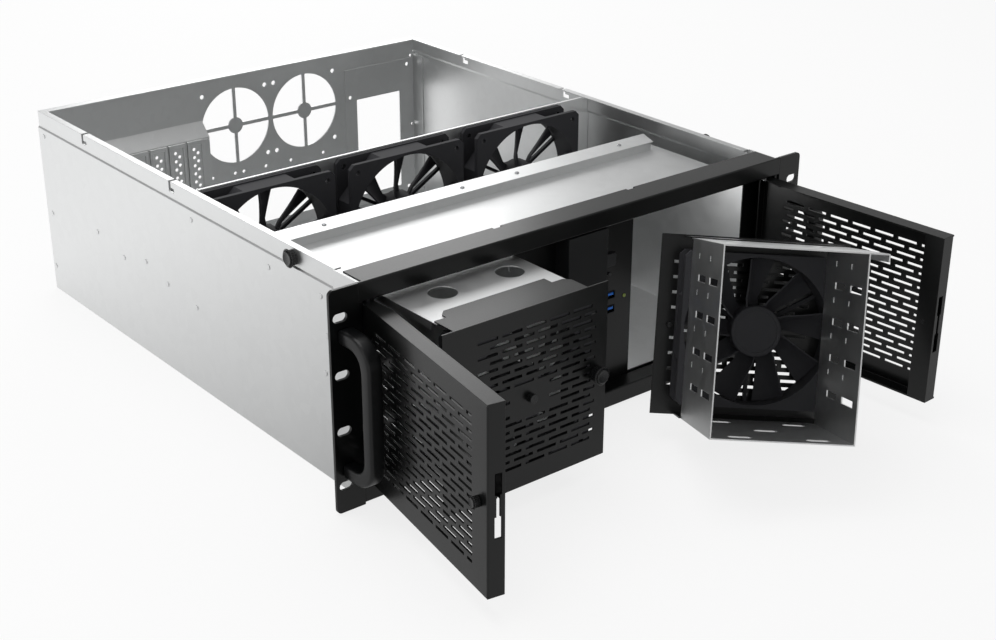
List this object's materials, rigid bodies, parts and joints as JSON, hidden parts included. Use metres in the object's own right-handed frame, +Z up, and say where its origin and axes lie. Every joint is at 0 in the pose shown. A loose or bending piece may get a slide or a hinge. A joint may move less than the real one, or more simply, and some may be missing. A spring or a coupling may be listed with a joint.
{
  "type": "rackmount server case",
  "caption": "Rackmount server case with its lid off: perforated swing doors, a fan wall, recessed card slots, one drive cage drawn out and one removed.",
  "frame": {"origin": "middle of the chassis' base, on the underside of the floor", "axes": "+X to the right seen from the front, +Y from the front doors to the rear panel, +Z up"},
  "size_m": [0.4865, 0.7504, 0.1946],
  "materials": {
    "painted_black": "fine-textured black powder coat",
    "galvanised": "smooth galvanised sheet",
    "black_plastic": "satin moulded",
    "fan_plastic": "satin moulded",
    "gloss_black": "gloss lacquer over bent flat bar",
    "bright_screw": "bright zinc",
    "port_blue": "gloss blue insulator",
    "board_green": "solder-masked board",
    "light_pipe": "clear green light pipe",
    "dark_button": "semi-gloss moulded"
  },
  "bodies": {
    "chassis": {"chassis_tray": "galvanised", "rear_panel": "galvanised", "slot_cover_1": "galvanised", "slot_cover_2": "galvanised", "slot_cover_3": "galvanised", "slot_cover_4": "galvanised", "slot_cover_5": "galvanised", "slot_cover_6": "galvanised", "slot_cover_7": "galvanised", "fan_wall": "galvanised", "drive_bay_frame": "galvanised", "centre_bay_box": "galvanised", "right_cage_body": "galvanised", "front_top_plate": "galvanised", "usb_shells": "galvanised", "slot_cover_screws": "bright_screw", "standoffs": "bright_screw", "handle_screws": "bright_screw", "hinge_pins": "bright_screw", "fan_frame_1": "fan_plastic", "fan_frame_2": "fan_plastic", "fan_frame_3": "fan_plastic", "right_cage_fan_frame": "fan_plastic", "front_bezel": "painted_black", "right_ear": "painted_black", "left_ear": "painted_black", "centre_panel": "painted_black", "right_cage_front": "painted_black", "right_handle": "gloss_black", "left_handle": "gloss_black", "drive_blank": "black_plastic", "right_cage_pull": "black_plastic", "lid_thumbscrews": "black_plastic", "button_board": "board_green", "usb_tongues": "port_blue", "status_light": "light_pipe"},
    "fan_rotor_1": {"fan_rotor_1": "fan_plastic"},
    "fan_rotor_2": {"fan_rotor_2": "fan_plastic"},
    "fan_rotor_3": {"fan_rotor_3": "fan_plastic"},
    "left_door": {"left_door": "painted_black"},
    "right_door": {"right_door": "painted_black"},
    "left_door_screw": {"left_door_screw": "black_plastic"},
    "right_door_screw": {"right_door_screw": "black_plastic"},
    "left_cage": {"left_cage_body": "galvanised", "left_cage_front": "painted_black", "left_cage_pull": "black_plastic", "left_cage_fan_frame": "fan_plastic"},
    "left_cage_rotor": {"left_cage_fan_rotor": "fan_plastic"},
    "left_cage_thumbscrew": {"left_cage_thumbscrew": "black_plastic"},
    "right_cage_rotor": {"right_cage_fan_rotor": "fan_plastic"},
    "right_cage_thumbscrew": {"right_cage_thumbscrew": "black_plastic"},
    "power_button": {"power_button": "dark_button"},
    "reset_button": {"reset_button": "dark_button"}
  },
  "joints": [
    {"name": "fan_spin_1", "type": "hinge", "parent": "chassis", "child": "fan_rotor_1", "pos_m": [-0.152, -0.03505, 0.1147], "axis": [0, 1, 0], "continuous": true},
    {"name": "fan_spin_2", "type": "hinge", "parent": "chassis", "child": "fan_rotor_2", "pos_m": [-0.0165, -0.03505, 0.1147], "axis": [0, 1, 0], "continuous": true},
    {"name": "fan_spin_3", "type": "hinge", "parent": "chassis", "child": "fan_rotor_3", "pos_m": [0.119, -0.03505, 0.1147], "axis": [0, 1, 0], "continuous": true},
    {"name": "left_door_hinge", "type": "hinge", "parent": "chassis", "child": "left_door", "pos_m": [-0.205, -0.25555, 0.089], "axis": [0, 0, 1], "range_deg": [-6, 6]},
    {"name": "right_door_hinge", "type": "hinge", "parent": "chassis", "child": "right_door", "pos_m": [0.205, -0.25555, 0.089], "axis": [0, 0, 1], "range_deg": [-12, 12]},
    {"name": "left_door_screw_turn", "type": "hinge", "parent": "left_door", "child": "left_door_screw", "pos_m": [-0.23931, -0.4242, 0.0864], "axis": [0.9863, -0.165, 0], "continuous": true},
    {"name": "right_door_screw_turn", "type": "hinge", "parent": "right_door", "child": "right_door_screw", "pos_m": [0.21999, -0.427, 0.0864], "axis": [-0.9986, -0.0523, 0], "continuous": true},
    {"name": "left_cage_slide", "type": "slide", "parent": "chassis", "child": "left_cage", "axis": [0, 1, 0], "range_m": [-0.03, 0.0905]},
    {"name": "left_cage_fan_spin", "type": "hinge", "parent": "left_cage", "child": "left_cage_rotor", "pos_m": [-0.1245, -0.32385, 0.0888], "axis": [0, 1, 0], "continuous": true},
    {"name": "left_cage_screw_turn", "type": "hinge", "parent": "left_cage", "child": "left_cage_thumbscrew", "pos_m": [-0.06025, -0.33755, 0.0888], "axis": [0, 1, 0], "continuous": true},
    {"name": "right_cage_fan_spin", "type": "hinge", "parent": "chassis", "child": "right_cage_rotor", "pos_m": [0.0876, -0.35747, 0.08787], "axis": [-0.52, -0.7902, 0.3243], "continuous": true},
    {"name": "right_cage_screw_turn", "type": "hinge", "parent": "chassis", "child": "right_cage_thumbscrew", "pos_m": [0.04236, -0.30984, 0.08914], "axis": [-0.52, -0.7902, 0.3243], "continuous": true},
    {"name": "power_button_press", "type": "slide", "parent": "chassis", "child": "power_button", "axis": [0, 1, 0], "range_m": [0, 0.0015], "stiffness_N_per_m": 150},
    {"name": "reset_button_press", "type": "slide", "parent": "chassis", "child": "reset_button", "axis": [0, 1, 0], "range_m": [0, 0.0012], "stiffness_N_per_m": 150}
  ]
}
